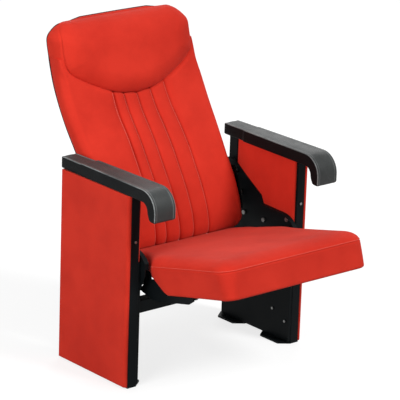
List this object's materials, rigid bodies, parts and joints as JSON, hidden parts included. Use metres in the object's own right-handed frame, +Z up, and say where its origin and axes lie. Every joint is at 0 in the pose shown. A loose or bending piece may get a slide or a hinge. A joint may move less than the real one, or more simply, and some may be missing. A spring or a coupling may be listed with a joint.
{
  "type": "tip-up auditorium seat",
  "caption": "Upholstered tip-up theatre seat: tilting cushion on a sprung hinge, fixed pleated high back, padded side standards with moulded armrests, floor-bolted feet.",
  "frame": {"origin": "on the floor, at the centre of the four floor anchor holes", "axes": "+Z up; +Y towards the rear, so that a sitter faces -Y; +X to the right of someone who looks at the seat's front"},
  "size_m": [0.7138, 0.9144, 0.988],
  "materials": {
    "upholstery": "plain woven wool-blend cloth over foam",
    "plywood": "raw plywood edge, covered",
    "arm_moulding": "integral-skin moulding with a fine leather grain",
    "shell_moulding": "fine texture",
    "frame_paint": "black powder coat, half gloss",
    "fastener_steel": "dark zinc plate",
    "spring_steel": "oiled spring wire",
    "bush_plastic": "natural nylon",
    "stop_rubber": "matt"
  },
  "bodies": {
    "frame": {"arm_rail_left": "frame_paint", "arm_rail_right": "frame_paint", "arm_screws": "fastener_steel", "armrest_left": "arm_moulding", "armrest_right": "arm_moulding", "back_board": "plywood", "back_bolts": "fastener_steel", "back_bracket_left": "frame_paint", "back_bracket_right": "frame_paint", "back_cushion": "upholstery", "back_rear_shell": "shell_moulding", "back_spacers": "fastener_steel", "beam_bolts": "fastener_steel", "cross_beam": "frame_paint", "front_foot_left": "frame_paint", "front_foot_right": "frame_paint", "front_post_left": "frame_paint", "front_post_right": "frame_paint", "headrest_cushion": "upholstery", "inner_panel_board_left": "plywood", "inner_panel_board_right": "plywood", "inner_panel_cover_left": "upholstery", "inner_panel_cover_right": "upholstery", "inner_plate_left": "frame_paint", "inner_plate_right": "frame_paint", "mid_rail_left": "frame_paint", "mid_rail_right": "frame_paint", "outer_panel_board_left": "plywood", "outer_panel_board_right": "plywood", "outer_panel_cover_left": "upholstery", "outer_panel_cover_right": "upholstery", "pivot_pins": "fastener_steel", "plate_screws": "fastener_steel", "post_screws": "fastener_steel", "rear_foot_left": "frame_paint", "rear_foot_right": "frame_paint", "rear_post_left": "frame_paint", "rear_post_right": "frame_paint", "stop_sleeves": "stop_rubber", "stop_studs": "fastener_steel", "torsion_springs": "spring_steel", "wing_bolts": "fastener_steel", "wing_bracket_left": "frame_paint", "wing_bracket_right": "frame_paint"},
    "seat": {"seat_cushion": "upholstery", "seat_pan": "shell_moulding", "hinge_arm_left": "frame_paint", "hinge_arm_right": "frame_paint", "hinge_arm_bolts": "fastener_steel", "pivot_bushes": "bush_plastic"}
  },
  "joints": [
    {"name": "seat_tip", "type": "hinge", "parent": "frame", "child": "seat", "pos_m": [0, -0.115, 0.338], "axis": [-1, 0, 0], "range_deg": [0, 72], "stiffness_Nm_per_rad": 4, "springref_deg": 72}
  ]
}
